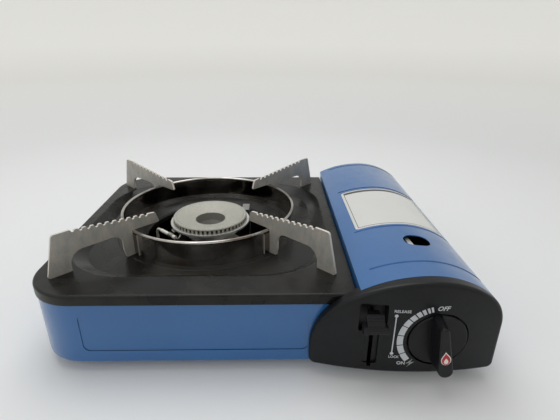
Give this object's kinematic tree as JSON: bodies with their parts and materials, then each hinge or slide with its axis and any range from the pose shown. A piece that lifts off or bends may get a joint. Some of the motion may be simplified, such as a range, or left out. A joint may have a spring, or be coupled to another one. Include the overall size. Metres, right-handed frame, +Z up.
{
  "type": "portable gas cassette stove",
  "caption": "Single-burner tabletop gas stove with a toothed pan trivet, hinged cartridge cover, lock lever and rotary control knob.",
  "frame": {"origin": "on the table, under the middle of the stove's whole width and depth", "axes": "+X from the burner side to the cartridge side, +Y from the control side to the back, +Z up"},
  "size_m": [0.34, 0.285, 0.1016],
  "materials": {
    "blue_paint": "gloss powder paint",
    "black_enamel": "satin black enamel",
    "zinc_sheet": "galvanised, dull",
    "black_plastic": "fine moulded texture",
    "rubber": "moulded",
    "fastener": "zinc plated",
    "lever_steel": "zinc plated sheet",
    "burner_cast": "die cast",
    "cap_alloy": "matt sintered look",
    "ceramic": "unglazed ceramic",
    "electrode_wire": "drawn wire",
    "lead_jacket": "silicone jacket",
    "heat_sheet": "rolled sheet",
    "saddle_sheet": "galvanised, dull",
    "diaphragm_sheet": "zinc plated",
    "brass": "turned",
    "pipe_metal": "drawn tube",
    "trivet_chrome": "bright plated",
    "arm_zinc": "grey coated steel",
    "label_foil": "satin foil plate",
    "cam_metal": "pressed"
  },
  "bodies": {
    "stove_body": {"body_tray": "blue_paint", "top_plate": "black_enamel", "partition_wall": "zinc_sheet", "front_panel": "black_plastic", "foot_front_left": "rubber", "foot_front_right": "rubber", "foot_rear_left": "rubber", "foot_rear_right": "rubber", "burner_bracket": "zinc_sheet", "burner_screws": "fastener", "burner_body": "burner_cast", "electrode_ceramic": "ceramic", "electrode_tip": "electrode_wire", "electrode_clip": "electrode_wire", "ignition_lead": "lead_jacket", "heat_plate": "heat_sheet", "saddle_front": "saddle_sheet", "saddle_rear": "saddle_sheet", "governor_bracket": "zinc_sheet", "governor_body": "burner_cast", "bracket_screws": "fastener", "diaphragm_cover": "diaphragm_sheet", "cartridge_socket": "brass", "socket_seal": "rubber", "gas_pipe": "pipe_metal", "gas_nozzle": "brass", "piezo_igniter": "black_plastic", "lever_bracket": "zinc_sheet", "lever_pivot_pin": "fastener", "carriage_studs": "fastener", "lid_hinge_pins": "fastener", "panel_screws": "fastener"},
    "burner_cap": {"burner_cap": "cap_alloy"},
    "pan_support": {"trivet_ring": "trivet_chrome", "arm_front_left": "arm_zinc", "arm_front_right": "arm_zinc", "arm_rear_left": "arm_zinc", "arm_rear_right": "arm_zinc"},
    "lid": {"lid_cover": "blue_paint", "lid_label": "label_foil", "lid_spring": "lever_steel"},
    "knob": {"control_knob": "black_plastic", "valve_spindle": "brass", "spindle_cam": "cam_metal"},
    "lever": {"lock_lever": "lever_steel", "lever_button": "black_plastic", "drive_pin": "fastener"},
    "carriage": {"cartridge_carriage": "zinc_sheet"}
  },
  "joints": [
    {"name": "pan_support_lift", "type": "slide", "parent": "stove_body", "child": "pan_support", "axis": [0, 0, 1], "range_m": [0, 0.04]},
    {"name": "burner_cap_lift", "type": "slide", "parent": "stove_body", "child": "burner_cap", "axis": [0, 0, 1], "range_m": [0, 0.03]},
    {"name": "lid_swing", "type": "hinge", "parent": "stove_body", "child": "lid", "pos_m": [0.1678, 0.0145, 0.0376], "axis": [0, 1, 0], "range_deg": [0, 95]},
    {"name": "knob_turn", "type": "hinge", "parent": "stove_body", "child": "knob", "pos_m": [0.1237, -0.128, 0.0406], "axis": [0, -1, 0], "range_deg": [0, 127]},
    {"name": "lever_swing", "type": "hinge", "parent": "stove_body", "child": "lever", "pos_m": [0.078, -0.0895, 0.0446], "axis": [1, 0, 0], "range_deg": [0, 36]},
    {"name": "carriage_slide", "type": "slide", "parent": "stove_body", "child": "carriage", "axis": [0, -1, 0], "range_m": [0, 0.00804]}
  ],
  "couplings": [
    {"joint": "carriage_slide", "follows": "lever_swing", "m_per_rad": 0.01279}
  ]
}
